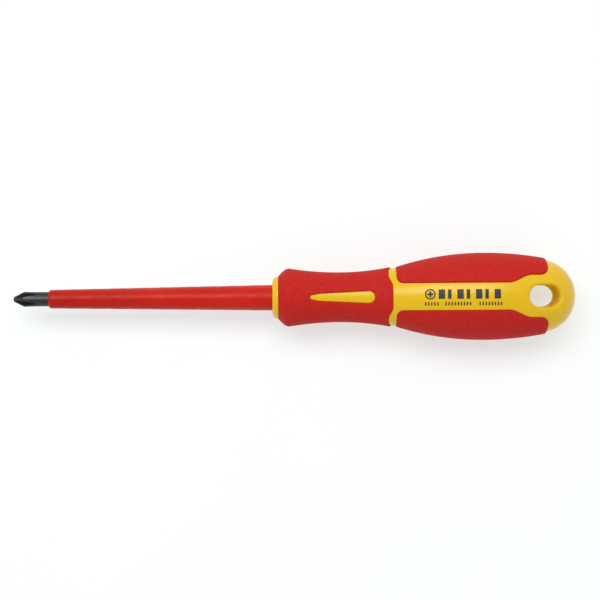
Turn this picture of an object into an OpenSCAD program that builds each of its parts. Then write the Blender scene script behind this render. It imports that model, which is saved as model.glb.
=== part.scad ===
// Insulated screwdriver with a No. 2 cross tip: one fixed steel blade in a moulded handle.
// The tool lies along X with its tip at -X and its printed face up. All sizes are in millimetres.
// Stations along the tool are measured from the handle's nose, positive towards the butt.

/* [Blade] */
// Length of the blade in front of the handle
blade_len = 100; // [80:1:125]
// Diameter across the point's wings
wing_tip_d = 5.8; // [5.6:0.1:6]
// Diameter of the bare round shank behind the flutes
shank_d = 5.6; // [5.5:0.1:5.6]
// Diameter of the shank under the insulation and in the handle
neck_d = 5.2; // [5:0.1:5.2]
// Length of bare steel in front of the insulation
bare_len = 13.6; // [12.6:0.1:18]
// Angle between the point's cone and the axis
point_angle = 26.5; // [24:0.5:30]
// Diameter of the blunt end of the point
point_end_d = 1.5; // [1.2:0.1:1.8]
// Length of the four ground flutes
flute_len = 9.7; // [9:0.1:11]
// Distance from the axis to a flute's root at the point
flute_root = 0.8; // [0.7:0.05:1]
// Radius of the curve that a flute runs out on
flute_curve_r = 45; // [35:1:60]
// Half of the angle between a flute's two flanks
flute_half_angle = 46; // [44:0.5:48]
// Depth of the tang inside the handle
tang_len = 80; // [74:1:84]
// Width across the tang's two wings
wing_w = 10.4; // [8:0.2:11]
// Thickness of the wings
wing_t = 3; // [2.4:0.1:3.6]

/* [Blade sleeve] */
// Diameter of the insulation at its front end
sleeve_front_d = 7.3; // [7.2:0.1:8]
// Diameter of the insulation where it enters the nose
sleeve_rear_d = 10; // [9:0.1:10.8]
// Length of the rounded front edge
sleeve_round = 1.5; // [0.8:0.1:2]
// Depth of the insulation inside the handle
sleeve_anchor = 14; // [12:0.5:16]

/* [Handle] */
// Length of the handle
handle_len = 117; // [115:0.5:119]
// Diameter of the nose ring
nose_d = 16.4; // [16:0.1:17]
// Length of the nose ring
nose_len = 2.3; // [2.2:0.1:2.8]
// Radius of the nose ring's rounded front
nose_round = 2.2; // [1.8:0.1:2.2]
// Diameter of the hard ring between the grips
ring_d = 22.4; // [22:0.1:22.6]
// Station of the handle's fattest section
crest_at = 81.5; // [80:0.5:83]
// Radius of the arc that shapes the handle in front of its fattest section
crest_front_arc = 110; // [108:1:114]
// Radius of the butt's dome
dome_r = 14.2; // [14:0.1:14.4]
// Width of the hard band that runs along each face
band_w = 10.6; // [9:0.2:12]
// Width of the hard zone round the hang slot
flare_w = 16.4; // [15.6:0.2:17]
// Station where the band starts to widen
flare_from = 89.8; // [89:0.1:92]
// Station where the band is at its widest
flare_to = 98.8; // [98:0.1:101]

/* [Front grip] */
// Smallest diameter of the grip, at its waist
waist_d = 19.3; // [19:0.1:20]
// Station of the waist
waist_at = 26; // [25:0.5:27]
// Radius of the waist's arc towards the nose
waist_front_arc = 120; // [115:1:130]
// Radius of the waist's arc towards the butt
waist_rear_arc = 100; // [98:1:105]
// Station of the shoulder behind the nose
shoulder_at = 6.5; // [6:0.1:7.5]
// Station of the grip's rear edge on the two faces
grip_end = 46.1; // [46:0.1:46.6]
// How far the wavy rear edge reaches forward between a face and a side
wave_depth = 1.5; // [1:0.05:1.7]
// Station of the round end of the teardrop window
window_end = 39.4; // [38:0.1:40]
// Length of the teardrop window
window_len = 25; // [22:0.5:26]
// Width of the window's round end
window_big_w = 4.8; // [4:0.1:6]
// Width of the window's neck, behind its pointed end
window_small_w = 3; // [2.4:0.1:3.6]
// Width of the window's rounded point
window_point_w = 1.8; // [1.4:0.1:2.2]

/* [Rear grip] */
// Largest diameter of the handle, across the two soft panels
crest_d = 33.76; // [33.5:0.02:34]
// Radius of the arc that shapes the panels behind the fattest section
crest_rear_arc = 130; // [126:1:134]
// Station of the panels' front edge
panel_from = 47.8; // [47.6:0.1:48.2]
// Station of the panels' rear edge
panel_to = 105.3; // [105:0.1:106]
// Radius of the panels' front corners
panel_corner_r = 2.3; // [1.5:0.1:3]
// Radius of the panels' rear corners
rear_corner_r = 3.1; // [2:0.1:3.4]
// Height of the soft surface above the hard one beside it
grip_proud = 0.4; // [0.3:0.05:0.45]
// Thickness of the soft material
grip_wall = 2.2; // [1.8:0.1:2.3]

/* [Hang slot] */
// Length of the slot along the handle
slot_len = 12.3; // [11:0.1:13]
// Width of the slot
slot_w = 8.4; // [7.5:0.1:9]
// Station of the slot's centre
slot_at = 103.7; // [103.4:0.1:104]

/* [Core] */
// Width across the core's corners in front
core_front_w = 12.4; // [12:0.1:12.8]
// Width across the core's corners at the tang's wings
core_rear_w = 19; // [16:0.5:20]
// Station where the core widens
core_step = 52; // [50:0.5:54]
// Station where the core ends
core_end = 90; // [88:0.5:91]

/* [Print mark] */
// Thickness of the ink
ink_t = 0.06; // [0.04:0.01:0.1]
// Station where the print starts
print_from = 58; // [56:0.5:60]
// Diameter of the round sign
sign_d = 4; // [3:0.1:4.4]

/* [Hidden] */
$fn = 72;

// Half sizes and the heights that follow from them
wing_tip_r = wing_tip_d / 2;
shank_r = shank_d / 2;
neck_r = neck_d / 2;
nose_r = nose_d / 2;
ring_r = ring_d / 2;
waist_r = waist_d / 2;
crest_r = crest_d / 2;
hard_crest_r = crest_r - grip_proud;
sleeve_front_r = sleeve_front_d / 2;
sleeve_rear_r = sleeve_rear_d / 2;
band_half = band_w / 2;
flare_half = flare_w / 2;

// The dome's centre, and the rear arc of the hard surface that runs smoothly into the dome
dome_at = handle_len - dome_r;
dome_gap = dome_at - crest_at;
hard_rear_arc = (dome_gap ^ 2 + hard_crest_r ^ 2 - dome_r ^ 2) / (2 * (hard_crest_r - dome_r));
dome_angle = asin(dome_gap / (hard_rear_arc - dome_r));

// Distances from the middle plane where the grip's rear edge turns forward, is all the way forward,
// and turns back again, and how far it comes back at the side
wave_from = 4;
wave_to = 8.5;
side_from = 10.2;
side_back = 1.2;

// Distance from the window's front end to its neck
neck_behind_point = 4;

// A length that reaches past every surface, and the angle between the points of a rounded edge
past = 30;
arc_step = 15;

// Drop of an arc of radius r at a distance d from its crown
function sag(r, d) = r - sqrt(r * r - d * d);

// Radius of the soft surface of each grip, and of the hard surface behind the ring
function front_grip_r(h) = waist_r + sag(h < waist_at ? waist_front_arc : waist_rear_arc, h - waist_at);
function rear_grip_r(h) = crest_r - sag(h < crest_at ? crest_front_arc : crest_rear_arc, h - crest_at);
function hard_r(h) = hard_crest_r - sag(h < crest_at ? crest_front_arc : hard_rear_arc, h - crest_at);

// Radius of the rounded shoulder behind the nose ring
shoulder_from_r = nose_r + 0.1;
function shoulder_r(t) = shoulder_from_r + (front_grip_r(shoulder_at) - shoulder_from_r) * sin(90 * t);

// Evenly spaced stations from a to b
function stations(a, b, n) = [for (i = [0:n]) a + (b - a) * i / n];

// Points of an arc in a plan outline
function arc(cx, cy, r, a, b) = [for (t = stations(a, b, 5)) [cx + r * cos(t), cy + r * sin(t)]];

// Moves a part from the nose's frame to the tool's own frame, standing on z = 0
module in_place() {
    translate([(blade_len - handle_len) / 2, 0, hard_crest_r]) children();
}

// Turns a profile of [radius, station] points about the tool's axis
module turned(profile) {
    rotate([0, 90, 0]) rotate_extrude() polygon(profile);
}

// Extrudes a plan outline of [station, y] points through the whole tool, along Z
module through_z(height = 2 * past) {
    translate([0, 0, -height / 2]) linear_extrude(height) children();
}

// ---- Blade ----

// One flute's cutter: a wheel with a V rim, which meets the point at flute_root and runs out at flute_len
module flute_cutter() {
    rise = shank_r - flute_root;
    chord = sqrt(flute_len ^ 2 + rise ^ 2);
    lean = atan2(rise, flute_len);
    reach = sqrt(flute_curve_r ^ 2 - (chord / 2) ^ 2);
    rim_half = 0.15;
    rim_depth = 5;
    translate([
        -blade_len + flute_len / 2 - reach * sin(lean),
        0,
        flute_root + rise / 2 + reach * cos(lean)
    ])
    rotate([90, 0, 0])
    rotate_extrude($fn = 240)
    polygon([
        [flute_curve_r, -rim_half],
        [flute_curve_r, rim_half],
        [flute_curve_r - rim_depth, rim_half + rim_depth * tan(flute_half_angle)],
        [flute_curve_r - rim_depth, -rim_half - rim_depth * tan(flute_half_angle)]
    ]);
}

module blade() {
    end_r = point_end_d / 2;
    end_bevel = 0.3;
    tang_bevel = 1;
    wing_from = 58;
    wing_to = 72;
    wing_slope = 3;
    wing_root = neck_r - 0.5;
    cone_len = (wing_tip_r - end_r - end_bevel) / tan(point_angle);
    color([0.2, 0.2, 0.21]) in_place() {
        difference() {
            turned([
                [0, -blade_len],
                [end_r, -blade_len],
                [end_r + end_bevel, -blade_len + end_bevel],
                [wing_tip_r, -blade_len + end_bevel + cone_len],
                [shank_r, -blade_len + flute_len],
                [shank_r, -blade_len + bare_len],
                [neck_r, -blade_len + bare_len],
                [neck_r, tang_len - tang_bevel],
                [neck_r - tang_bevel, tang_len],
                [0, tang_len]
            ]);
            for (a = [45:90:315]) rotate([a, 0, 0]) flute_cutter();
        }
        through_z(wing_t) for (s = [0, 1]) mirror([0, s]) polygon([
            [wing_from, 0],
            [wing_from, wing_root],
            [wing_from + wing_slope, wing_w / 2],
            [wing_to - wing_slope, wing_w / 2],
            [wing_to, wing_root],
            [wing_to, 0]
        ]);
    }
}

// ---- Blade sleeve ----

// The outside of the insulation, with two grooves in its anchored end; inner_r is its bore
function sleeve_profile(inner_r) =
    let (
        from = bare_len - blade_len,
        front_flat = 0.05,
        wall = sleeve_front_r - shank_r - front_flat,
        groove = 0.8
    )
    concat(
        [[inner_r, from]],
        [for (t = [0:arc_step:90]) [
            sleeve_front_r - wall * (1 - sin(t)),
            from + sleeve_round * (1 - cos(t))
        ]],
        [[sleeve_rear_r, 0]],
        [for (g = [4, 9], e = [[0, 0], [0.5, groove], [2.5, groove], [3, 0]])
            [sleeve_rear_r - e[1], g + e[0]]],
        [[sleeve_rear_r, sleeve_anchor], [inner_r, sleeve_anchor]]
    );

module blade_sleeve() {
    color([0.8, 0.12, 0.08]) in_place() turned(sleeve_profile(neck_r));
}

// ---- Handle core ----

// The core's outside: two six-sided stages with ring grooves that lock the body on
module core_shape() {
    groove_d = 1.2;
    difference() {
        rotate([0, 90, 0]) {
            translate([0, 0, sleeve_anchor])
                cylinder(h = core_step - sleeve_anchor, d = core_front_w, $fn = 6);
            translate([0, 0, core_step]) cylinder(h = core_end - core_step, d = core_rear_w, $fn = 6);
        }
        for (g = [58:10:78]) turned([
            [core_rear_w / 2 - groove_d, g],
            [past, g],
            [past, g + 3],
            [core_rear_w / 2 - groove_d, g + 3]
        ]);
    }
}

module handle_core() {
    color([0.85, 0.83, 0.78]) difference() {
        in_place() core_shape();
        blade();
    }
}

// ---- Handle body ----

// The whole hard surface, before the soft parts are let in
module hard_shape() {
    turned(concat(
        [[0, 0]],
        [for (t = [0:arc_step:90]) [
            nose_r - nose_round * (1 - sin(t)),
            nose_round * (1 - cos(t))
        ]],
        [[nose_r, nose_len]],
        [for (h = stations(shoulder_at, window_end + 1, 9)) [front_grip_r(h) - grip_proud, h]],
        [[ring_r, grip_end - wave_depth - 1], [ring_r, panel_from]],
        [for (h = stations(panel_from + 0.3, crest_at, 9)) [hard_r(h), h]],
        [for (t = stations(0, dome_angle, 5)) [
            hard_crest_r - sag(hard_rear_arc, hard_rear_arc * sin(t)),
            crest_at + hard_rear_arc * sin(t)
        ]],
        [for (t = stations(dome_angle, 90, 11)) [dome_r * cos(t), dome_at + dome_r * sin(t)]]
    ));
}

module hang_slot() {
    through_z() {
        for (s = [-1, 1])
            translate([slot_at + s * (slot_len - slot_w) / 2, 0]) circle(d = slot_w);
        translate([slot_at, 0]) square([slot_len - slot_w, slot_w], center = true);
    }
}

module handle_body() {
    color([0.9, 0.74, 0.1]) in_place() difference() {
        hard_shape();
        front_grip_room();
        rear_grip_room();
        mirror([0, 1, 0]) rear_grip_room();
        hang_slot();
        core_shape();
        turned(sleeve_profile(0));
    }
}

// ---- Front grip ----

// A teardrop outline in plan: a short rounded point, a neck, and a long taper to the big round end
module teardrop() {
    big_r = window_big_w / 2;
    point_r = window_point_w / 2;
    neck_at = window_end - window_len + neck_behind_point;
    big_at = window_end - big_r;
    point_at = window_end - window_len + point_r;
    polygon(concat(
        arc(point_at, 0, point_r, 105, 180),
        arc(point_at, 0, point_r, 195, 255),
        [[neck_at, -window_small_w / 2]],
        arc(big_at, 0, big_r, -90, 0),
        arc(big_at, 0, big_r, 18, 90),
        [[neck_at, window_small_w / 2]]
    ));
}

// The wavy rear edge: straight across each face, forward between face and side, back again at the side
function grip_edge(y) =
    y < wave_from ? grip_end :
    y < wave_to ? grip_end - wave_depth * (1 - cos(180 * (y - wave_from) / (wave_to - wave_from))) / 2 :
    y < side_from ? grip_end - wave_depth :
    grip_end - wave_depth + side_back * min(1, (y - side_from) / side_back);

// Everything in front of the wavy edge, less the windows, in plan
module front_grip_plan() {
    side = concat([past, side_from + side_back, side_from], stations(wave_to, wave_from, 4));
    ys = concat([for (y = side) -y], [for (i = [len(side) - 1:-1:0]) side[i]]);
    difference() {
        polygon(concat([[0, -past]], [for (y = ys) [grip_edge(abs(y)), y]], [[0, past]]));
        teardrop();
    }
}

// A ring between the grip's inner surface and the given outer points, cut to the grip's plan
module front_grip_shell(outside) {
    floor_points = concat(
        [[nose_r - 1, nose_len]],
        [for (h = stations(shoulder_at, grip_end + 1, 9)) [front_grip_r(h) - grip_wall, h]]
    );
    intersection() {
        turned(concat(floor_points, outside));
        through_z() front_grip_plan();
    }
}

module front_grip_room() {
    front_grip_shell([[past, grip_end + 1], [past, nose_len]]);
}

module front_grip() {
    surface = concat(
        [for (t = stations(0, 0.86, 6)) [shoulder_r(t), nose_len + (shoulder_at - nose_len) * t]],
        [for (h = stations(shoulder_at + 0.4, grip_end + 1, 14)) [front_grip_r(h), h]]
    );
    color([0.76, 0.15, 0.14]) in_place()
        front_grip_shell([for (i = [len(surface) - 1:-1:0]) surface[i]]);
}

// ---- Rear grip panels ----

// One panel in plan, on the +Y side, with rounded corners and an edge that follows the band's flare
module rear_grip_plan() {
    c = panel_corner_r;
    polygon(concat(
        [[panel_from, past]],
        arc(panel_from + c, band_half + c, c, 180, 270),
        [for (t = stations(0, 1, 6)) [
            flare_from + (flare_to - flare_from) * t,
            band_half + (flare_half - band_half) * (1 - cos(180 * t)) / 2
        ]],
        arc(panel_to - rear_corner_r, flare_half + rear_corner_r, rear_corner_r, 270, 360),
        [[panel_to, past]]
    ));
}

// A ring between the panel's inner surface and the given outer points, cut to the panel's plan
module rear_grip_shell(outside) {
    floor_points = [for (h = stations(panel_from, panel_to, 14)) [rear_grip_r(h) - grip_wall, h]];
    intersection() {
        turned(concat(floor_points, outside));
        through_z() rear_grip_plan();
    }
}

module rear_grip_room() {
    rear_grip_shell([[past, panel_to], [past, panel_from]]);
}

module rear_grip() {
    front_round = 0.35;
    rear_round = 0.7;
    rear_at = panel_to - rear_round;
    surface = concat(
        [for (t = [0:30:90]) [
            rear_grip_r(panel_from + front_round) - front_round * (1 - sin(t)),
            panel_from + front_round * (1 - cos(t))
        ]],
        [for (h = stations(panel_from + 2, crest_at, 11)) [rear_grip_r(h), h]],
        [for (h = stations(crest_at + 2, rear_at, 8)) [rear_grip_r(h), h]],
        [for (t = [60:-30:0]) [
            rear_grip_r(rear_at) - rear_round * (1 - sin(t)),
            rear_at + rear_round * cos(t)
        ]]
    );
    rear_grip_shell([for (i = [len(surface) - 1:-1:0]) surface[i]]);
}

module rear_grip_right() {
    color([0.76, 0.15, 0.14]) in_place() rear_grip();
}

module rear_grip_left() {
    color([0.76, 0.15, 0.14]) in_place() mirror([0, 1, 0]) rear_grip();
}

// ---- Print mark ----

// A round sign with a cross, a row of upright bars and three rows of short ticks, in plan
module print_plan() {
    sign_at = print_from + sign_d / 2;
    row_y = 0.9;
    line = 0.5;
    bar_h = 3.6;
    bar_pitch = 3.5;
    bars_from = print_from + sign_d + 1.1;
    tick = [0.5, 1.3];
    tick_pitch = 1.15;
    tick_y = -3.4;
    translate([sign_at, row_y]) {
        difference() {
            circle(d = sign_d, $fn = 48);
            circle(d = sign_d - 2 * line, $fn = 48);
        }
        for (a = [0, 90]) rotate(a) square([sign_d * 0.55, 0.8], center = true);
    }
    for (i = [0:6]) translate([bars_from + i * bar_pitch, row_y - bar_h / 2])
        square([i % 2 == 0 ? 2.4 : 1.3, bar_h]);
    for (g = [[0, 5], [7.6, 9], [20.4, 8]], i = [0:g[1] - 1])
        translate([print_from + g[0] + i * tick_pitch, tick_y]) square(tick);
}

module print_mark() {
    hs = stations(print_from - 1, print_from + 32, 8);
    color([0.06, 0.06, 0.06]) in_place() intersection() {
        turned(concat(
            [for (h = hs) [hard_r(h), h]],
            [for (i = [len(hs) - 1:-1:0]) [hard_r(hs[i]) + ink_t, hs[i]]]
        ));
        linear_extrude(past) print_plan();
    }
}

blade();
blade_sleeve();
handle_core();
handle_body();
front_grip();
rear_grip_right();
rear_grip_left();
print_mark();
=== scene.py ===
import bpy
import math
import numpy as np
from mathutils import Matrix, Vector
from mathutils.geometry import delaunay_2d_cdt
from mathutils.kdtree import KDTree


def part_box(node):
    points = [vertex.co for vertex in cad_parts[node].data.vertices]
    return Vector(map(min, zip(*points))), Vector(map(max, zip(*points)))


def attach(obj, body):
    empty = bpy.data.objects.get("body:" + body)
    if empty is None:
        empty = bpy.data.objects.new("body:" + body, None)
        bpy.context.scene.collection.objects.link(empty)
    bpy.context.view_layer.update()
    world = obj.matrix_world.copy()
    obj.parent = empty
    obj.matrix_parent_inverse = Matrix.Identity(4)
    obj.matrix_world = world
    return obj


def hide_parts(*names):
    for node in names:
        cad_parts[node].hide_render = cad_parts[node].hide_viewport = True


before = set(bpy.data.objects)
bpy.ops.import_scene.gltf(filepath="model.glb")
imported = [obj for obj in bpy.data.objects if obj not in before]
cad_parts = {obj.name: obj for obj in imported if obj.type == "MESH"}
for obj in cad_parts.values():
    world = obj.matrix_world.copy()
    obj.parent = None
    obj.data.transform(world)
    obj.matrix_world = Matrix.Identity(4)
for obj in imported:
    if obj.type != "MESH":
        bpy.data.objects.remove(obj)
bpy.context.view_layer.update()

# The tool's shapes are worked out in millimetres, in stations along it: station 0 is the handle's
# nose, positive towards the butt. placed() turns them into metres in the shared frame. The floor,
# the lights and the camera are in metres from the start.
MM = 0.001
BODY_LOW, BODY_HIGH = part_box("handle_body")
BLADE_LOW, BLADE_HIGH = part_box("blade")
NOSE_X = BODY_LOW.x
AXIS_Z = (BLADE_LOW.z + BLADE_HIGH.z) / 2
HANDLE_LEN = (BODY_HIGH.x - BODY_LOW.x) / MM
BLADE_LEN = (NOSE_X - BLADE_LOW.x) / MM
CREST_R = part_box("rear_grip_right")[1].y / MM

# Handle
NOSE_R, NOSE_LEN, NOSE_ROUND = 8.2, 2.3, 2.2
WAIST_R, WAIST_AT, WAIST_FRONT_ARC, WAIST_REAR_ARC = 9.65, 26.0, 120.0, 100.0
SHOULDER_AT, GRIP_END, WAVE_DEPTH = 6.5, 46.1, 1.5
WAVE_FROM, WAVE_TO, SIDE_FROM, SIDE_BACK = 4.0, 8.5, 10.2, 1.2
RING_R, PANEL_FROM, PANEL_TO, CORNER_R, REAR_CORNER_R = 11.2, 47.8, 105.3, 2.3, 3.1
CREST_AT, CREST_FRONT_ARC, CREST_REAR_ARC = 81.5, 110.0, 130.0
PROUD, WALL = 0.4, 2.2
HARD_CREST_R = CREST_R - PROUD
DOME_R = 14.2
DOME_AT = HANDLE_LEN - DOME_R
DOME_GAP = DOME_AT - CREST_AT
HARD_REAR_ARC = (DOME_GAP ** 2 + HARD_CREST_R ** 2 - DOME_R ** 2) / (2 * (HARD_CREST_R - DOME_R))
DOME_FROM = CREST_AT + HARD_REAR_ARC * DOME_GAP / (HARD_REAR_ARC - DOME_R)
BAND_HALF, FLARE_HALF, FLARE_FROM, FLARE_TO = 5.3, 8.2, 89.8, 98.8
WINDOW_END, WINDOW_LEN, WINDOW_BIG_R, WINDOW_SMALL_R = 39.4, 25.0, 2.4, 1.5
WINDOW_POINT_R, WINDOW_NECK = 0.9, 4.0
SLOT_LEN, SLOT_W, SLOT_AT = 12.3, 8.4, 103.7

# The hard ring starts under the grip's wavy edge. At the nose ring, the front grip stands GRIP_LIP
# outside the ring's radius, and the floor under it lies GRIP_SEAT inside that radius.
RING_FROM = GRIP_END - WAVE_DEPTH - 1
GRIP_LIP, GRIP_SEAT = 0.1, 1.0

# Core and sleeve
BORE_R, SLEEVE_ANCHOR = 5.0, 14.0
CORE_FRONT_R, CORE_REAR_R, CORE_STEP, CORE_END = 6.2, 9.5, 52.0, 90.0
CHAMFER_R, CHAMFER_LEN = 0.25, 0.12
BARE_LEN, NECK_R, SLEEVE_FRONT_R, SLEEVE_ROUND = 13.6, 2.6, 3.65, 1.5
SLEEVE_LIP_R, SLEEVE_INSET = 2.85, 0.03

# The insulation's slight waves: height, radians per millimetre, and where each starts
SLEEVE_WAVES = ((0.022, 0.71, 0.0), (0.014, 1.63, 1.1))

# Painted shade on the insulation: its colour's strength at the front end, and the length over which
# it comes to full
FRONT_SHADE, SHADE_LEN = 0.8, 50.0

# Blade's point: its cone, the radius over its wings, and the depth at which the painted shade in its
# flutes is full black
POINT_R, WING_R, CONE_LEN, FLUTE_SHADE = 0.75, 2.9, 4.0, 0.35

# Edges: their rounding and grooves, how far from a border each ring of points lies, and for the
# hard rings how far it drops there
SOFT_ROUND = 0.45
SOFT_RINGS = (0.04, 0.13, 0.28, 0.45, 0.58)
HARD_RINGS = ((0.12, 0.12), (0.28, 0.0), (0.4, 0.0))
HARD_DROP = 0.3
GROOVE = 0.2
SLOT_ROUND, SLOT_REAR_STRETCH = 1.15, 0.4
SLOT_RINGS = (0.06, 0.18, 0.36, 0.6, 0.87, 1.15)

# Flat map of the handle's upper half: station, and angle from the top times MAP_R
MAP_R = 14.0
MAP_EDGE = MAP_R * math.pi / 2
HALF_TURN = 64
LINE_STEP, PLAN_STEP, SLOT_STEP = 0.5, 0.4, 0.42

# Its lattice of loose points: closer rows at the front, then an even spacing to LATTICE_END,
# and how far it stays from the borders' points and from the seams
FRONT_ROWS, FRONT_SPACING = 15, 0.22
SPACING, LATTICE_END = 0.75, 112.0
LATTICE_GAP, LATTICE_SEAM_GAP, SEAM_GAP = 0.45, 0.4, 0.3

# Places on the map are the same within EXACT before it is cut into triangles, and CLOSE after it
EXACT, CLOSE = 1e-9, 1e-6

# Segments of the round stretches
NOSE_STEPS, DOME_STEPS, FLARE_STEPS, SLOT_END_STEPS, SLOT_WALL_STEPS = 10, 15, 40, 40, 10
SLEEVE_TURN, SLEEVE_LIP_STEPS, SLEEVE_STEPS, SLEEVE_FADE_STEPS = 96, 12, 180, 12

# Most of a noise's values lie in this range
NOISE_RANGE = (0.3, 0.7)


# ---- Radii ----

def sag(radius, distance):
    return radius - math.sqrt(radius * radius - distance * distance)


def front_r(h):
    return WAIST_R + sag(WAIST_FRONT_ARC if h < WAIST_AT else WAIST_REAR_ARC, h - WAIST_AT)


def soft_front(h):
    """Outside of the front grip, with its rounded shoulder."""
    if h >= SHOULDER_AT:
        return front_r(h)
    start = NOSE_R + GRIP_LIP
    t = max(0.0, (h - NOSE_LEN) / (SHOULDER_AT - NOSE_LEN))
    return start + (front_r(SHOULDER_AT) - start) * math.sin(t * math.pi / 2)


def soft_rear(h):
    return CREST_R - sag(CREST_FRONT_ARC if h < CREST_AT else CREST_REAR_ARC, h - CREST_AT)


def hard(h):
    """Outside of the hard body, from behind the nose ring to the end of the dome."""
    if h < RING_FROM:
        return front_r(h) - PROUD
    if h <= PANEL_FROM:
        return RING_R
    if h <= DOME_FROM:
        arc = CREST_FRONT_ARC if h < CREST_AT else HARD_REAR_ARC
        return max(RING_R, HARD_CREST_R - sag(arc, h - CREST_AT))
    return math.sqrt(max(0.0, DOME_R ** 2 - (h - DOME_AT) ** 2))


def floor_front(h):
    if h >= SHOULDER_AT:
        return front_r(h) - WALL
    start = NOSE_R - GRIP_SEAT
    t = (h - NOSE_LEN) / (SHOULDER_AT - NOSE_LEN)
    return start + (front_r(SHOULDER_AT) - WALL - start) * t


def floor_rear(h):
    return soft_rear(h) - WALL


# ---- Outlines on the flat map ----

def to_map(h, y):
    return (h, MAP_R * math.asin(max(-1.0, min(1.0, y / hard(h)))))


def resample(points, step, closed=False):
    """The same line with points evenly about step apart."""
    pts = np.array(points + ([points[0]] if closed else []), float)
    run = np.concatenate([[0], np.cumsum(np.linalg.norm(np.diff(pts, axis=0), axis=1))])
    count = max(2, int(round(run[-1] / step)))
    at = np.linspace(0, run[-1], count + 1)
    out = [(float(np.interp(a, run, pts[:, 0])), float(np.interp(a, run, pts[:, 1]))) for a in at]
    return out[:-1] if closed else out


def arc_points(cx, cy, radius, start, end, count=16):
    angles = [math.radians(start + (end - start) * i / count) for i in range(count + 1)]
    return [(cx + radius * math.cos(a), cy + radius * math.sin(a)) for a in angles]


def grip_edge(y):
    if y < WAVE_FROM:
        return GRIP_END
    if y < WAVE_TO:
        turn = math.pi * (y - WAVE_FROM) / (WAVE_TO - WAVE_FROM)
        return GRIP_END - WAVE_DEPTH * (1 - math.cos(turn)) / 2
    if y < SIDE_FROM:
        return GRIP_END - WAVE_DEPTH
    return GRIP_END - WAVE_DEPTH + SIDE_BACK * min(1.0, (y - SIDE_FROM) / SIDE_BACK)


def wavy_line():
    """The front grip's rear edge over the upper half, a point every half degree."""
    line = []
    for i in range(-180, 181):
        turn = math.radians(i / 2)
        line.append((grip_edge(abs(RING_R * math.sin(turn))), MAP_R * turn))
    return resample(line, LINE_STEP)


def panel_line():
    """The border of the +Y panel, from the seam at its front round to the seam at its rear."""
    c = CORNER_R
    plan = arc_points(PANEL_FROM + c, BAND_HALF + c, c, 180, 270)
    for i in range(FLARE_STEPS + 1):
        t = i / FLARE_STEPS
        plan.append((FLARE_FROM + (FLARE_TO - FLARE_FROM) * t,
                     BAND_HALF + (FLARE_HALF - BAND_HALF) * (1 - math.cos(math.pi * t)) / 2))
    c = REAR_CORNER_R
    plan += arc_points(PANEL_TO - c, FLARE_HALF + c, c, 270, 360)
    plan = resample(plan, PLAN_STEP)
    line = [to_map(h, y) for h, y in plan]
    line = [(PANEL_FROM, MAP_EDGE)] + line + [(PANEL_TO, MAP_EDGE)]
    return resample(line, LINE_STEP)


def teardrop_line():
    """A short rounded point, then a long taper to the big round end."""
    start = WINDOW_END - WINDOW_LEN
    point_at, neck_at = start + WINDOW_POINT_R, start + WINDOW_NECK
    big_at = WINDOW_END - WINDOW_BIG_R
    short = math.degrees(math.asin((WINDOW_SMALL_R - WINDOW_POINT_R) / (neck_at - point_at)))
    long = math.degrees(math.asin((WINDOW_BIG_R - WINDOW_SMALL_R) / (big_at - neck_at)))
    plan = arc_points(big_at, 0, WINDOW_BIG_R, -90 - long, 90 + long, 40)
    plan += arc_points(neck_at, 0, WINDOW_SMALL_R, 90 + long, 90 + short, 6)
    plan += arc_points(point_at, 0, WINDOW_POINT_R, 90 + short, 270 - short, 30)
    plan += arc_points(neck_at, 0, WINDOW_SMALL_R, 270 - short, 270 - long, 6)
    return [to_map(h, y) for h, y in resample(plan, PLAN_STEP, True)]


def slot_plan(grow):
    """The slot's outline in plan, grown outwards, and further at the end towards the butt."""
    half, across = (SLOT_LEN - SLOT_W) / 2, SLOT_W / 2 + grow
    ends = []
    for side, along in ((-1, across), (1, across + grow * SLOT_REAR_STRETCH)):
        for i in range(SLOT_END_STEPS + 1):
            turn = math.radians(180 * i / SLOT_END_STEPS)
            h = SLOT_AT + side * (half + along * math.sin(turn))
            ends.append((h, -side * across * math.cos(turn)))
    return resample(ends, SLOT_STEP, True)


def offset(line, distance, closed):
    """The line moved sideways, to its left, by a distance along the real surface."""
    pts = np.array(line, float)
    if closed:
        ahead, behind = np.roll(pts, -1, 0), np.roll(pts, 1, 0)
    else:
        ahead = np.vstack([pts[1:], pts[-1:]])
        behind = np.vstack([pts[:1], pts[:-1]])
    out = []
    for p, a, b in zip(pts, ahead, behind):
        stretch = hard(p[0]) / MAP_R
        dh, ds = a[0] - b[0], (a[1] - b[1]) * stretch
        length = math.hypot(dh, ds)
        h, s = p[0] - distance * ds / length, p[1] + distance * dh / length / stretch
        if abs(abs(p[1]) - MAP_EDGE) < EXACT:
            s = p[1]
        out.append((h, s))
    return out


# ---- The flat map's triangles ----

class FlatMap:
    """Points and lines of the upper half, each with how far it drops in each material."""

    def __init__(self):
        self.points, self.soft, self.hard, self.down, self.lines = [], [], [], [], []
        self.known = {}

    def add(self, h, s, soft=0.0, hard_drop=0.0, down=0.0):
        key = (round(h, 4), round(s, 4))
        if key not in self.known:
            self.known[key] = len(self.points)
            self.points.append((h, s))
            self.soft.append(soft)
            self.hard.append(hard_drop)
            self.down.append(down)
        return self.known[key]

    def line(self, pts, closed=False, **drops):
        ids = [self.add(h, s, **drops) for h, s in pts]
        self.lines += list(zip(ids, ids[1:] + ids[:1] if closed else ids[1:]))


def soft_drop(distance):
    left = max(0.0, SOFT_ROUND - distance)
    return SOFT_ROUND - math.sqrt(SOFT_ROUND ** 2 - left ** 2)


def border(flat, line, soft_side, closed):
    """A border between soft and hard, with rings of points on both sides of it."""
    flat.line(line, closed, soft=SOFT_ROUND + GROOVE, hard_drop=HARD_DROP)
    for d in SOFT_RINGS:
        flat.line(offset(line, soft_side * d, closed), closed, soft=soft_drop(d))
    for d, drop in HARD_RINGS:
        flat.line(offset(line, -soft_side * d, closed), closed, hard_drop=drop)


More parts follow.
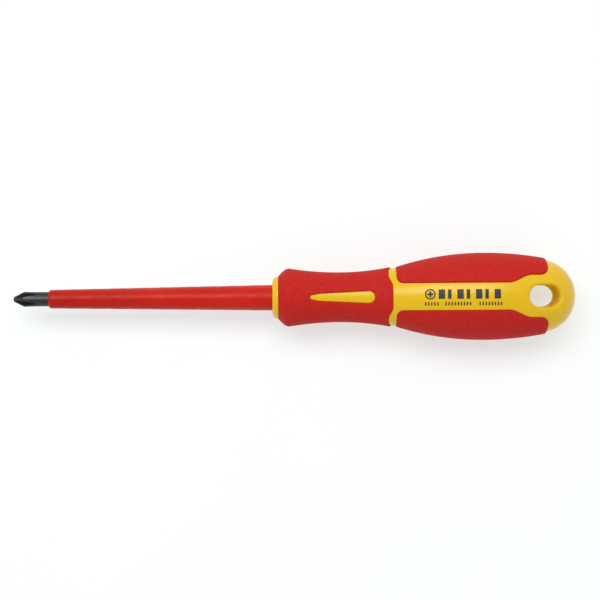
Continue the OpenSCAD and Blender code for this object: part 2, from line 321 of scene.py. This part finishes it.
def slot_border(flat):
    for d in (0.0,) + SLOT_RINGS:
        drop = SLOT_ROUND - math.sqrt(SLOT_ROUND ** 2 - (SLOT_ROUND - d) ** 2)
        flat.line([to_map(h, y) for h, y in slot_plan(d)], True, down=drop)


def inside(points, outline):
    """Which points lie inside a closed outline."""
    x, y = points[:, 0], points[:, 1]
    result = np.zeros(len(points), bool)
    for (x0, y0), (x1, y1) in zip(outline, outline[1:] + outline[:1]):
        if y0 == y1:
            continue
        crosses = (y0 > y) != (y1 > y)
        result ^= crosses & (x < (x1 - x0) * (y - y0) / (y1 - y0) + x0)
    return result


def lattice_stations():
    front = [NOSE_LEN + FRONT_SPACING * i for i in range(1, FRONT_ROWS + 1)]
    left = LATTICE_END - front[-1]
    count = int(left / SPACING)
    return front + [front[-1] + left * (i + 1) / count for i in range(count - 1)]


def finder(points):
    """A tree that says how far the nearest of the points is."""
    near = KDTree(len(points))
    for i, (h, s) in enumerate(points):
        near.insert((h, s, 0), i)
    near.balance()
    return near


def seam_columns(flat, near, stations):
    """A line along each seam, through the ends of the borders that reach it."""
    for side in (-MAP_EDGE, MAP_EDGE):
        free = [h for h in stations if near.find((h, side, 0))[2] > SEAM_GAP]
        crossings = [h for h, s in flat.points if abs(s - side) < EXACT]
        flat.line([(h, side) for h in sorted(set(free + crossings))])


def lattice(flat, near, stations):
    """Loose points in staggered rows, clear of the borders and the seams."""
    across = int(2 * MAP_EDGE / SPACING)
    for row, h in enumerate(stations):
        shift = 0.5 if row % 2 else 0.0
        for i in range(1, across):
            s = -MAP_EDGE + 2 * MAP_EDGE * (i + shift) / across
            if abs(s) < MAP_EDGE - LATTICE_SEAM_GAP and near.find((h, s, 0))[2] > LATTICE_GAP:
                flat.add(h, s)


def triangulate(flat):
    """The map as arrays: its points, how far they drop in each material, and its triangles."""
    got = delaunay_2d_cdt([Vector(p) for p in flat.points], flat.lines, [], 0, CLOSE)
    first = [ids[0] if ids else None for ids in got[3]]
    arrays = {"points": np.array([(v.x, v.y) for v in got[0]])}
    for key, drops in (("soft", flat.soft), ("hard", flat.hard), ("down", flat.down)):
        arrays[key] = np.array([0.0 if i is None else drops[i] for i in first])
    arrays["tris"] = np.array([f[:3] for f in got[2] if len(f) == 3])
    return arrays


def regions(middle, wave, panel, drop_line):
    """The region that each triangle's middle lies in."""
    low, high = -MAP_EDGE - 1, MAP_EDGE + 1
    front = [(NOSE_LEN - 1, low), (wave[0][0], low)] + wave
    front += [(wave[-1][0], high), (NOSE_LEN - 1, high)]
    right = panel + [(PANEL_TO, high), (PANEL_FROM, high)]
    region = np.full(len(middle), "hard", dtype="<U6")
    region[inside(middle, front)] = "front"
    region[inside(middle, drop_line)] = "hard"
    region[inside(middle, right)] = "right"
    region[inside(middle, [(h, -s) for h, s in right])] = "left"
    region[inside(middle, [to_map(h, y) for h, y in slot_plan(0)])] = "slot"
    return region


def build_map():
    """Triangles of the upper half, with a region for each: front, right, left, hard or slot."""
    flat = FlatMap()
    wave, panel, drop_line = wavy_line(), panel_line(), teardrop_line()
    border(flat, wave, 1, False)
    border(flat, panel, 1, False)
    border(flat, [(h, -s) for h, s in panel], -1, False)
    border(flat, drop_line, -1, True)
    slot_border(flat)
    near = finder(flat.points)
    ends = [-MAP_EDGE + 2 * MAP_EDGE * i / HALF_TURN for i in range(HALF_TURN + 1)]
    flat.line([(NOSE_LEN, s) for s in ends])
    flat.line([(LATTICE_END, s) for s in ends])
    stations = lattice_stations()
    seam_columns(flat, near, stations)
    lattice(flat, near, stations)
    arrays = triangulate(flat)
    middle = arrays["points"][arrays["tris"]].mean(axis=1)
    arrays["region"] = regions(middle, wave, panel, drop_line)
    return arrays


# ---- From the flat map to solids ----

def wrapped(flat, radius_of, drops, down=None):
    """Positions of the map's points on a turned surface, in millimetres about the axis."""
    out = np.zeros((len(flat["points"]), 3))
    for i, (h, s) in enumerate(flat["points"]):
        r = radius_of(h) - drops[i]
        turn = s / MAP_R
        z = 0.0 if abs(abs(s) - MAP_EDGE) < CLOSE else r * math.cos(turn)
        out[i] = (h, r * math.sin(turn), z - (down[i] if down is not None else 0.0))
    return out


class Shell:
    """A mesh made of vertex layers; a layer holds the upper half and its mirror image below."""

    def __init__(self):
        self.verts, self.faces = [], []

    def layer(self, flat, upper):
        """Adds both halves of a surface and returns the vertex numbers of each half."""
        count, start = len(upper), len(self.verts)
        self.verts += [tuple(p) for p in upper]
        top = np.arange(start, start + count)
        low = top.copy()
        free = np.where(np.abs(np.abs(flat["points"][:, 1]) - MAP_EDGE) > CLOSE)[0]
        low[free] = np.arange(len(self.verts), len(self.verts) + len(free))
        self.verts += [(upper[i][0], upper[i][1], -upper[i][2]) for i in free]
        return top, low

    def skin(self, tris, layer, outward=True):
        for half, ids in enumerate(layer):
            flip = (half == 1) == outward
            for a, b, c in tris:
                face = (ids[a], ids[b], ids[c])
                self.faces.append(face[::-1] if flip else face)

    def wall(self, edges, upper_layer, lower_layer):
        """Joins two layers along directed edges of the region that the wall closes."""
        for half in (0, 1):
            top, bottom = upper_layer[half], lower_layer[half]
            for a, b in edges:
                face = (top[b], top[a], bottom[a], bottom[b])
                self.faces.append(face[::-1] if half else face)

    def ring(self, h, radius_of_turn, count):
        start = len(self.verts)
        for i in range(count):
            turn = -math.pi / 2 + 2 * math.pi * i / count
            r = radius_of_turn(turn)
            self.verts.append((h, r * math.sin(turn), r * math.cos(turn)))
        return list(range(start, start + count))

    def bridge(self, first, second):
        for i in range(len(first)):
            j = (i + 1) % len(first)
            self.faces.append((first[i], first[j], second[j], second[i]))

    def cap(self, ring, tip, outward=True):
        centre = len(self.verts)
        self.verts.append(tip)
        for i in range(len(ring)):
            face = (ring[i], ring[(i + 1) % len(ring)], centre)
            self.faces.append(face if outward else face[::-1])


def map_edges(tris):
    """Directed edges that only one triangle of the set uses."""
    edges = set()
    for a, b, c in tris:
        for e in ((a, b), (b, c), (c, a)):
            edges.add((int(e[0]), int(e[1])))
    return [e for e in edges if (e[1], e[0]) not in edges]


def off_seam(flat, edges):
    """The edges less those that run along a seam, where the two halves join."""
    s = flat["points"][:, 1]
    on = np.abs(np.abs(s) - MAP_EDGE) < CLOSE
    return [e for e in edges if not (on[e[0]] and on[e[1]] and s[e[0]] * s[e[1]] > 0)]


def end_ring(flat, station, layer):
    """The layer's vertices at one end of the map, once round the tool."""
    at = np.where(np.abs(flat["points"][:, 0] - station) < CLOSE)[0]
    at = at[np.argsort(flat["points"][at, 1])]
    return [layer[0][i] for i in at] + [layer[1][i] for i in at[-2:0:-1]]


def placed(name, verts, faces, body_part, slot_name, sharp=38, second=()):
    """Makes the object in metres in the shared frame, in place of a CAD node.

    The faces whose numbers are in second take the object's second material.
    """
    used = sorted({i for f in faces for i in f})
    renumber = {old: new for new, old in enumerate(used)}
    points = [(NOSE_X + h * MM, y * MM, AXIS_Z + z * MM) for h, y, z in (verts[i] for i in used)]
    mesh = bpy.data.meshes.new(name)
    mesh.from_pydata(points, [], [tuple(renumber[i] for i in f) for f in faces])
    mesh.polygons.foreach_set("use_smooth", [True] * len(mesh.polygons))
    mesh.polygons.foreach_set("material_index", [int(i in second) for i in range(len(faces))])
    mesh.set_sharp_from_angle(angle=math.radians(sharp))
    mesh.update()
    obj = bpy.data.objects.new(name, mesh)
    bpy.context.scene.collection.objects.link(obj)
    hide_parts(body_part)
    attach(obj, "root")
    return obj


def soft_piece(flat, name, region, node, soft_of, floor_of):
    """A soft part: its outside, its floor on the hard body, and the walls between them."""
    tris = flat["tris"][flat["region"] == region]
    shell = Shell()
    outer = shell.layer(flat, wrapped(flat, soft_of, flat["soft"]))
    inner = shell.layer(flat, wrapped(flat, floor_of, np.zeros(len(flat["points"]))))
    shell.skin(tris, outer)
    shell.skin(tris, inner, outward=False)
    shell.wall(off_seam(flat, map_edges(tris)), outer, inner)
    return placed(name, shell.verts, shell.faces, node, "soft_grip")


def hexagon_r(corner_r):
    """Radius of a six-sided outline whose corners are at the top and bottom."""
    def radius(turn):
        from_middle = (turn % (math.pi / 3)) - math.pi / 6
        return corner_r * math.cos(math.pi / 6) / math.cos(from_middle)
    return radius


def body_piece(flat):
    """The hard body: its outside, the floors under the soft parts, the slot, nose and butt."""
    tris, region = flat["tris"], flat["region"]
    shell = Shell()
    outer = shell.layer(flat, wrapped(flat, hard, flat["hard"], flat["down"]))
    shell.skin(tris[region == "hard"], outer)
    none = np.zeros(len(flat["points"]))
    floor_layer = None
    for name, floor_of in (("front", floor_front), ("right", floor_rear), ("left", floor_rear)):
        part = tris[region == name]
        inner = shell.layer(flat, wrapped(flat, floor_of, none))
        shell.skin(part, inner)
        behind_nose = flat["points"][:, 0] > NOSE_LEN + CLOSE
        edges = [e for e in off_seam(flat, map_edges(part)) if behind_nose[e[0]] or behind_nose[e[1]]]
        shell.wall([(b, a) for a, b in edges], outer, inner)
        if name == "front":
            floor_layer = inner
    walls_from = len(shell.faces)
    slot_walls(shell, flat, outer)
    slot_faces = range(walls_from, len(shell.faces))
    nose(shell, end_ring(flat, NOSE_LEN, floor_layer))
    dome(shell, end_ring(flat, LATTICE_END, outer))
    made = (shell.verts, shell.faces)
    return placed("hard_body", *made, "handle_body", "hard_plastic", 40, slot_faces)


def slot_walls(shell, flat, outer):
    """The slot's walls run straight down from the upper rim to the lower one."""
    steps = SLOT_WALL_STEPS
    columns = {}
    for a, b in map_edges(flat["tris"][flat["region"] == "slot"]):
        for i in (a, b):
            if i in columns:
                continue
            top, low = shell.verts[outer[0][i]], shell.verts[outer[1][i]]
            ids = [int(outer[0][i])]
            for k in range(1, steps):
                ids.append(len(shell.verts))
                shell.verts.append((top[0], top[1], top[2] + (low[2] - top[2]) * k / steps))
            columns[i] = ids + [int(outer[1][i])]
        for k in range(steps):
            shell.faces.append((columns[a][k], columns[b][k], columns[b][k + 1], columns[a][k + 1]))


def nose(shell, floor_ring):
    """The nose ring, the bore for the sleeve, and the six-sided room for the core."""
    count = 2 * HALF_TURN
    rings = [(NOSE_LEN, lambda t: NOSE_R)]
    for i in range(NOSE_STEPS + 1):
        a = math.radians(90 - 90 * i / NOSE_STEPS)
        r = NOSE_R - NOSE_ROUND * (1 - math.sin(a))
        rings.append((NOSE_ROUND * (1 - math.cos(a)), lambda t, r=r: r))
    rings.append((0.0, lambda t: BORE_R + CHAMFER_R))
    rings.append((CHAMFER_LEN, lambda t: BORE_R))
    rings.append((SLEEVE_ANCHOR, lambda t: BORE_R))
    rings.append((SLEEVE_ANCHOR, hexagon_r(CORE_FRONT_R)))
    rings.append((CORE_STEP, hexagon_r(CORE_FRONT_R)))
    rings.append((CORE_STEP, hexagon_r(CORE_REAR_R)))
    rings.append((CORE_END, hexagon_r(CORE_REAR_R)))
    last = floor_ring
    for h, radius in rings:
        ring = shell.ring(h, radius, count)
        shell.bridge(last, ring)
        last = ring
    shell.cap(last, (CORE_END, 0.0, 0.0))


def dome(shell, last):
    """The round butt, from the end of the map to its middle."""
    start = math.acos((LATTICE_END - DOME_AT) / DOME_R)
    for i in range(1, DOME_STEPS):
        a = start * (1 - i / DOME_STEPS)
        r = DOME_R * math.sin(a)
        ring = shell.ring(DOME_AT + DOME_R * math.cos(a), lambda t, r=r: r, 2 * HALF_TURN)
        shell.bridge(ring, last)
        last = ring
    shell.cap(last, (HANDLE_LEN, 0.0, 0.0), outward=False)


def sleeve_profile():
    """The insulation's section: a rounded lip, then a slightly wavy taper back to its anchor."""
    from_h = BARE_LEN - BLADE_LEN
    wall = SLEEVE_FRONT_R - SLEEVE_LIP_R
    profile = [(from_h, NECK_R)]
    for i in range(SLEEVE_LIP_STEPS + 1):
        a = math.radians(90 * i / SLEEVE_LIP_STEPS)
        h = from_h + SLEEVE_ROUND * (1 - math.cos(a))
        profile.append((h, SLEEVE_FRONT_R - wall * (1 - math.sin(a))))
    start = from_h + SLEEVE_ROUND
    for i in range(1, SLEEVE_STEPS + 1):
        h = start - start * i / SLEEVE_STEPS
        r = SLEEVE_FRONT_R + (BORE_R - SLEEVE_FRONT_R) * i / SLEEVE_STEPS
        fade = min(1.0, i / SLEEVE_FADE_STEPS, (SLEEVE_STEPS - i) / SLEEVE_FADE_STEPS)
        wave = sum(height * math.sin(h * rate + phase) for height, rate, phase in SLEEVE_WAVES)
        profile.append((h, r + fade * wave - SLEEVE_INSET))
    return profile + [(SLEEVE_ANCHOR, BORE_R - SLEEVE_INSET), (SLEEVE_ANCHOR, NECK_R)]


def sleeve_piece():
    """The moulded insulation, turned from its section."""
    shell = Shell()
    rings = [shell.ring(h, lambda t, r=r: r, SLEEVE_TURN) for h, r in sleeve_profile()]
    for first, second in zip(rings, rings[1:] + rings[:1]):
        shell.bridge(second, first)
    return placed("insulation_sleeve", shell.verts, shell.faces, "blade_sleeve", "insulation", 50)


# ---- Materials ----

def material(name, **sockets):
    mat = bpy.data.materials.new(name)
    mat.use_nodes = True
    shader = mat.node_tree.nodes["Principled BSDF"]
    for key, value in sockets.items():
        shader.inputs[key.replace("_", " ")].default_value = value
    return mat, mat.node_tree, shader


def coords(tree, stretch=(1, 1, 1)):
    place = tree.nodes.new("ShaderNodeTexCoord")
    scaled = tree.nodes.new("ShaderNodeMapping")
    scaled.inputs["Scale"].default_value = stretch
    tree.links.new(place.outputs["Object"], scaled.inputs["Vector"])
    return scaled.outputs["Vector"]


def noise(tree, size_mm, stretch=(1, 1, 1), detail=3.0, rough=0.55):
    """Noise whose features are about size_mm across."""
    node = tree.nodes.new("ShaderNodeTexNoise")
    node.inputs["Scale"].default_value = 1 / (size_mm * MM)
    node.inputs["Detail"].default_value = detail
    node.inputs["Roughness"].default_value = rough
    tree.links.new(coords(tree, stretch), node.inputs["Vector"])
    return node.outputs["Fac"]


def ramp(tree, source, stops):
    node = tree.nodes.new("ShaderNodeValToRGB")
    while len(node.color_ramp.elements) < len(stops):
        node.color_ramp.elements.new(0.5)
    for element, (at, colour) in zip(node.color_ramp.elements, stops):
        element.position = at
        element.color = (*colour, 1) if len(colour) == 3 else colour
    tree.links.new(source, node.inputs["Fac"])
    return node.outputs["Color"]


def mapped(tree, source, from_range, to_range):
    """A value moved from one range to another, and held inside it."""
    node = tree.nodes.new("ShaderNodeMapRange")
    node.inputs["From Min"].default_value, node.inputs["From Max"].default_value = from_range
    node.inputs["To Min"].default_value, node.inputs["To Max"].default_value = to_range
    tree.links.new(source, node.inputs["Value"])
    return node.outputs["Result"]


def spread(tree, source, low, high):
    """A noise's values spread from low to high."""
    return mapped(tree, source, NOISE_RANGE, (low, high))


def axes(tree):
    """Sockets for a point's X, Y and Z on the object."""
    node = tree.nodes.new("ShaderNodeSeparateXYZ")
    tree.links.new(coords(tree), node.inputs["Vector"])
    return node.outputs


def bump(tree, source, depth_mm, strength=1.0, under=None):
    node = tree.nodes.new("ShaderNodeBump")
    node.inputs["Distance"].default_value = depth_mm * MM
    node.inputs["Strength"].default_value = strength
    tree.links.new(source, node.inputs["Height"])
    if under is not None:
        tree.links.new(under, node.inputs["Normal"])
    return node.outputs["Normal"]


def two_tone(tree, shader, source, dark, light, low=0.35, high=0.65):
    tree.links.new(ramp(tree, source, [(low, dark), (high, light)]), shader.inputs["Base Color"])


def soft_red():
    mat, tree, shader = material("soft_red_rubber", Specular_IOR_Level=0.1)
    mottle = noise(tree, 1.1, detail=6, rough=0.75)
    two_tone(tree, shader, mottle, (0.435, 0.012, 0.009), (0.53, 0.021, 0.016))
    tree.links.new(spread(tree, noise(tree, 3), 0.6, 0.72), shader.inputs["Roughness"])
    grain = bump(tree, noise(tree, 0.28, detail=2), 0.035, 0.7)
    fine = bump(tree, noise(tree, 2.2, detail=3), 0.05, 0.3, grain)
    tree.links.new(fine, shader.inputs["Normal"])
    return mat


def yellow_plastic():
    tint = (1, 0.92, 0.82, 1)
    mat, tree, shader = material("yellow_hard_plastic", Specular_IOR_Level=0.38, Specular_Tint=tint)
    shader.inputs["Subsurface Weight"].default_value = 0.06
    shader.inputs["Subsurface Radius"].default_value = (1.0, 0.5, 0.1)
    shader.inputs["Subsurface Scale"].default_value = 0.0012
    two_tone(tree, shader, noise(tree, 11, detail=4), (0.712, 0.443, 0.004), (0.752, 0.473, 0.007))
    sheen = spread(tree, noise(tree, 2.5, (0.35, 1, 1), 5), 0.2, 0.28)
    tree.links.new(sheen, shader.inputs["Roughness"])
    peel = bump(tree, noise(tree, 1.3, detail=2), 0.012, 0.5)
    rubs = bump(tree, noise(tree, 0.35, (0.12, 1, 1), 4, 0.7), 0.006, 0.5, peel)
    tree.links.new(rubs, shader.inputs["Normal"])
    return mat


def painted_light_slot_plastic():
    """The same plastic inside the slot, where the mould leaves it dull, painted lighter than the
    body: painted light on the slot's walls.
    """
    mat, tree, shader = material("yellow_slot_wall_painted_light", Specular_IOR_Level=0.12)
    shader.inputs["Subsurface Weight"].default_value = 1.0
    shader.inputs["Subsurface Radius"].default_value = (1.0, 0.85, 0.15)
    shader.inputs["Subsurface Scale"].default_value = 0.007
    # Painted light: a lighter yellow than the body's, for the slot's walls
    two_tone(tree, shader, noise(tree, 4, detail=4), (0.84, 0.60, 0.035), (0.90, 0.65, 0.045))
    tree.links.new(spread(tree, noise(tree, 1.5), 0.75, 0.9), shader.inputs["Roughness"])
    tree.links.new(bump(tree, noise(tree, 0.5, (1, 1, 0.2), 3), 0.02, 0.5), shader.inputs["Normal"])
    return mat


def painted_shade_red(tree):
    """The insulation's clouded red, with painted shade that darkens it towards its front end."""
    cloud = noise(tree, 6, (0.4, 1, 1), 4)
    red = ramp(tree, cloud, [(0.35, (0.495, 0.010, 0.003)), (0.65, (0.545, 0.015, 0.005))])
    front = BLADE_LOW.x + BARE_LEN * MM
    # Painted shade: the red is scaled down towards the front end
    shade = mapped(tree, axes(tree)["X"], (front, front + SHADE_LEN * MM), (FRONT_SHADE, 1.0))
    shaded = tree.nodes.new("ShaderNodeVectorMath")
    shaded.operation = "SCALE"
    tree.links.new(red, shaded.inputs["Vector"])
    tree.links.new(shade, shaded.inputs["Scale"])
    return shaded.outputs["Vector"]


def glossy_red():
    mat, tree, shader = material("glossy_red_insulation", Specular_IOR_Level=0.16)
    tree.links.new(painted_shade_red(tree), shader.inputs["Base Color"])
    sheen = spread(tree, noise(tree, 2.4, (0.5, 1, 1), 4), 0.2, 0.42)
    tree.links.new(sheen, shader.inputs["Roughness"])
    streaks = bump(tree, noise(tree, 1.0, (0.6, 1, 1), 4, 0.7), 0.14, 0.7)
    ripple = bump(tree, noise(tree, 3.4, (0.8, 1, 1), 2), 0.08, 0.6, streaks)
    tree.links.new(ripple, shader.inputs["Normal"])
    return mat


def math_node(tree, operation, first, second):
    """Both operands may be a socket or a number."""
    node = tree.nodes.new("ShaderNodeMath")
    node.operation = operation
    for socket, value in zip(node.inputs, (first, second)):
        if isinstance(value, (int, float)):
            socket.default_value = value
        else:
            tree.links.new(value, socket)
    return node.outputs["Value"]


def flute_depth(tree):
    """How far, in metres, a point of the blade lies inside the bar's outline and its cone."""
    place = axes(tree)
    up = math_node(tree, "SUBTRACT", place["Z"], AXIS_Z)
    across = math_node(tree, "MULTIPLY", place["Y"], place["Y"])
    upward = math_node(tree, "MULTIPLY", up, up)
    radius = math_node(tree, "SQRT", math_node(tree, "ADD", across, upward), 0.0)
    cone = (BLADE_LOW.x, BLADE_LOW.x + CONE_LEN * MM)
    outline = mapped(tree, place["X"], cone, (POINT_R * MM, WING_R * MM))
    return math_node(tree, "SUBTRACT", outline, radius)


def gunmetal():
    """Dark grey steel, with painted shade that turns it black deep in the flutes, grey on the wings
    and the shank.
    """
    mat, tree, shader = material("gunmetal_steel", Metallic=1.0)
    ground = noise(tree, 0.22, (1, 0.18, 0.18), 5, 0.7)
    patchy = math_node(tree, "MULTIPLY", noise(tree, 1.2, detail=5), FLUTE_SHADE * MM)
    depth = math_node(tree, "SUBTRACT", flute_depth(tree), patchy)
    # Painted shade: the deeper inside the flutes, the darker the steel
    painted_flute_shade = mapped(tree, depth, (-FLUTE_SHADE * MM, FLUTE_SHADE * MM), (0.0, 1.0))
    steel = ramp(tree, painted_flute_shade, [(0.3, (0.066, 0.066, 0.067)), (1.0, (0.016, 0.016, 0.017))])
    tree.links.new(steel, shader.inputs["Base Color"])
    tree.links.new(spread(tree, ground, 0.34, 0.5), shader.inputs["Roughness"])
    tree.links.new(bump(tree, ground, 0.006, 0.4), shader.inputs["Normal"])
    return mat


def core_plastic():
    mat, tree, shader = material("core_plastic", IOR=1.5)
    two_tone(tree, shader, noise(tree, 8), (0.62, 0.59, 0.50), (0.68, 0.65, 0.57))
    tree.links.new(spread(tree, noise(tree, 2), 0.45, 0.55), shader.inputs["Roughness"])
    tree.links.new(bump(tree, noise(tree, 0.6), 0.02, 0.4), shader.inputs["Normal"])
    return mat


def black_ink():
    mat, tree, shader = material("black_ink", IOR=1.45)
    two_tone(tree, shader, noise(tree, 0.5, detail=5), (0.013, 0.012, 0.011), (0.032, 0.028, 0.022))
    tree.links.new(spread(tree, noise(tree, 0.4), 0.4, 0.6), shader.inputs["Roughness"])
    tree.links.new(bump(tree, noise(tree, 0.25), 0.006, 0.5), shader.inputs["Normal"])
    return mat


def floor_paint():
    """Pale sweep that glows a little, so that shadows on it stay light and neutral."""
    mat, tree, shader = material("pale_floor", Specular_IOR_Level=0.0)
    two_tone(tree, shader, noise(tree, 60, detail=3), (0.42, 0.45, 0.45), (0.43, 0.46, 0.46))
    tree.links.new(spread(tree, noise(tree, 40), 0.85, 0.95), shader.inputs["Roughness"])
    shader.inputs["Emission Color"].default_value = (1, 1, 1, 1)
    shader.inputs["Emission Strength"].default_value = 0.54
    return mat


def dress(obj, *mats):
    for mat in mats:
        obj.data.materials.append(mat)


def dress_node(name, mat):
    """A CAD node keeps its mesh and takes a new material."""
    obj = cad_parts[name]
    for slot_item in obj.material_slots:
        slot_item.material = mat


# ---- Stage ----

def floor():
    """A square floor in tiles, on which the tool lies."""
    half, count = 4.0, 8
    verts = [(-half + 2 * half * i / count, -half + 2 * half * j / count, 0.0)
             for j in range(count + 1) for i in range(count + 1)]
    row = count + 1
    faces = [(j * row + i, j * row + i + 1, (j + 1) * row + i + 1, (j + 1) * row + i)
             for j in range(count) for i in range(count)]
    mesh = bpy.data.meshes.new("floor")
    mesh.from_pydata(verts, [], faces)
    obj = bpy.data.objects.new("floor", mesh)
    bpy.context.scene.collection.objects.link(obj)
    dress(obj, floor_paint())


def soft_box(name, size, place, aim, power):
    light = bpy.data.lights.new(name, "AREA")
    light.shape = "RECTANGLE"
    light.size, light.size_y = size
    light.energy = power
    light.spread = math.pi
    obj = bpy.data.objects.new(name, light)
    bpy.context.scene.collection.objects.link(obj)
    obj.location = place
    obj.rotation_euler = (Vector(aim) - Vector(place)).to_track_quat("-Z", "Y").to_euler()


def soft_light():
    """A soft box beyond the tool, 22 degrees off the vertical."""
    distance, off = 1.2, math.radians(22)
    width, depth, shift = 1.1, 0.5, -0.22
    aim_height, radiance = 0.016, 5.4
    place = (shift, distance * math.sin(off), distance * math.cos(off))
    power = radiance * math.pi * width * depth
    soft_box("soft_box", (width, depth), place, (shift, 0, aim_height), power)


def room():
    """Light from all round, dim overhead and a little stronger from the +Y side."""
    world = bpy.data.worlds.new("room")
    world.use_nodes = True
    tree = world.node_tree
    sky = tree.nodes["Background"]
    height = tree.nodes.new("ShaderNodeSeparateXYZ")
    place = tree.nodes.new("ShaderNodeTexCoord")
    tree.links.new(place.outputs["Generated"], height.inputs["Vector"])
    greys = [(0.0, 0.73), (0.15, 0.75), (0.72, 0.75), (0.9, 0.33)]
    fade = ramp(tree, height.outputs["Z"], [(at, (grey, grey, grey)) for at, grey in greys])
    tree.links.new(fade, sky.inputs["Color"])
    side = mapped(tree, height.outputs["Y"], (-1.0, 1.0), (0.95, 1.05))
    tree.links.new(side, sky.inputs["Strength"])
    bpy.context.scene.world = world


def camera():
    """Straight above the tool, a little off its axis and slightly turned."""
    height, along, aside, turn_deg = 0.65, 2.18, -0.96, -0.38
    eye = bpy.data.cameras.new("camera")
    eye.lens = 100.8
    eye.sensor_width = 36
    eye.clip_start, eye.clip_end = 0.01, 50
    obj = bpy.data.objects.new("camera", eye)
    bpy.context.scene.collection.objects.link(obj)
    obj.location = (along * MM, aside * MM, AXIS_Z + height)
    obj.rotation_euler = (0, 0, math.radians(turn_deg))
    bpy.context.scene.camera = obj
    bpy.context.scene.view_settings.view_transform = "Standard"


def handle():
    flat = build_map()
    body = body_piece(flat)
    dress(body, yellow_plastic(), painted_light_slot_plastic())
    rubber = soft_red()
    for name, region, node, soft_of, floor_of in (
        ("front_soft_grip", "front", "front_grip", soft_front, floor_front),
        ("right_soft_panel", "right", "rear_grip_right", soft_rear, floor_rear),
        ("left_soft_panel", "left", "rear_grip_left", soft_rear, floor_rear),
    ):
        dress(soft_piece(flat, name, region, node, soft_of, floor_of), rubber)


handle()
dress(sleeve_piece(), glossy_red())
dress_node("blade", gunmetal())
dress_node("handle_core", core_plastic())
dress_node("print_mark", black_ink())
floor()
soft_light()
room()
camera()
